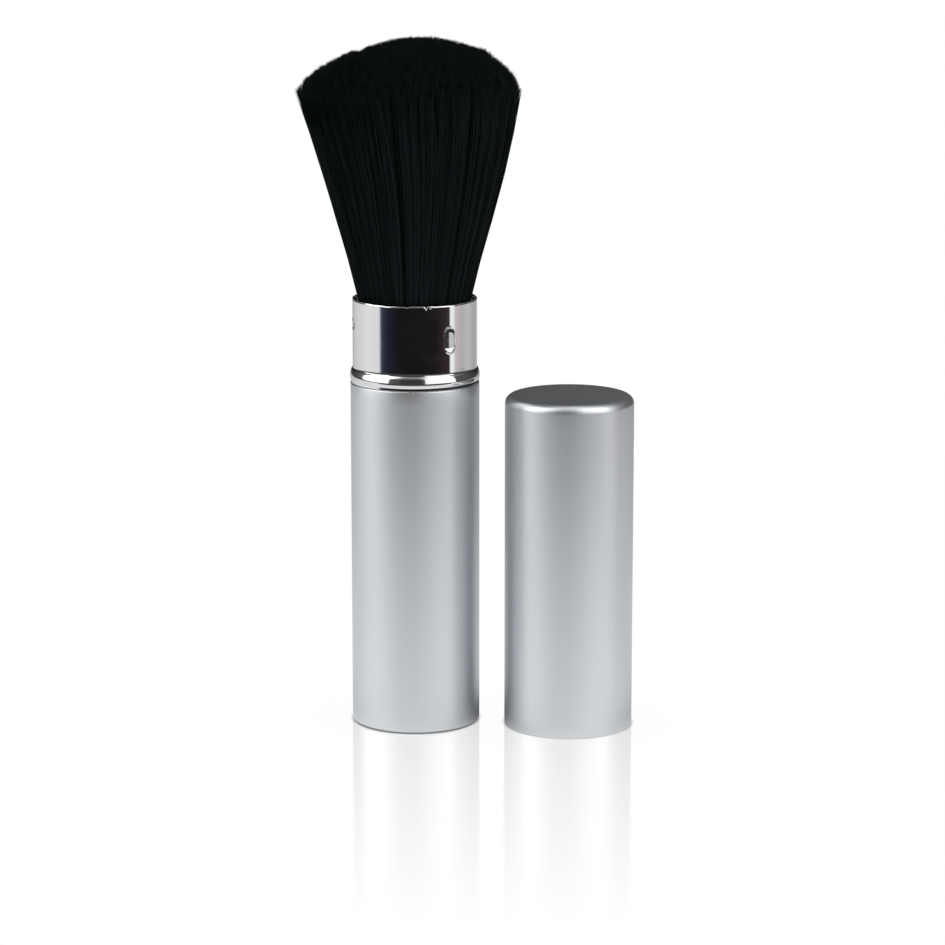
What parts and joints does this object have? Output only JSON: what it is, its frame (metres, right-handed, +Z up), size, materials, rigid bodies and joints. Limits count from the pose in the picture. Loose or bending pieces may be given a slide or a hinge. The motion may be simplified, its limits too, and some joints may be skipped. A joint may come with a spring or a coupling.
{
  "type": "retractable makeup brush",
  "caption": "Flared powder brush whose head twists down into a satin metal case through a beaded chrome collar, with a separate drawn metal cap standing beside it.",
  "frame": {"origin": "centre of the flat underside of the case, on the surface that the brush stands on", "axes": "+Z up along the brush's axis towards the hair, +X towards the cap that stands beside it, -Y towards the viewer of the picture"},
  "size_m": [0.0573, 0.038, 0.1183],
  "materials": {
    "satin_aluminium": "satin silver lacquer over drawn aluminium",
    "polished_chrome": "mirror-bright plating",
    "black_plastic": "moulded, fine matt",
    "white_plastic": "moulded slide plastic, semi-matt",
    "dark_rubber": "moulded ring",
    "bare_aluminium": "plain drawn",
    "amber_resin": "set adhesive",
    "black_hair": "fine black hair, soft sheen"
  },
  "bodies": {
    "case": {"body_shell": "satin_aluminium", "base_plug": "black_plastic", "friction_ring": "dark_rubber", "spiral_sleeve": "white_plastic"},
    "collar": {"beaded_collar": "polished_chrome", "guide_tube": "white_plastic"},
    "brush_head": {"head_carrier": "white_plastic", "ferrule": "bare_aluminium", "root_plug": "amber_resin", "hair_core": "black_hair", "hair_outer": "black_hair"},
    "cap": {"cap_shell": "satin_aluminium"}
  },
  "joints": [
    {"name": "collar_twist", "type": "hinge", "parent": "case", "child": "collar", "pos_m": [0, 0, 0.05965], "axis": [0, 0, 1], "range_deg": [0, 720]},
    {"name": "head_slide", "type": "slide", "parent": "collar", "child": "brush_head", "axis": [0, 0, 1], "range_m": [-0.041, 0], "deforming": ["hair_core", "hair_outer"]},
    {"name": "cap_lift", "type": "slide", "parent": "case", "child": "cap", "axis": [0, 0, 1], "range_m": [0, 0.03]}
  ],
  "couplings": [
    {"joint": "head_slide", "follows": "collar_twist", "m_per_rad": -0.0032627}
  ]
}
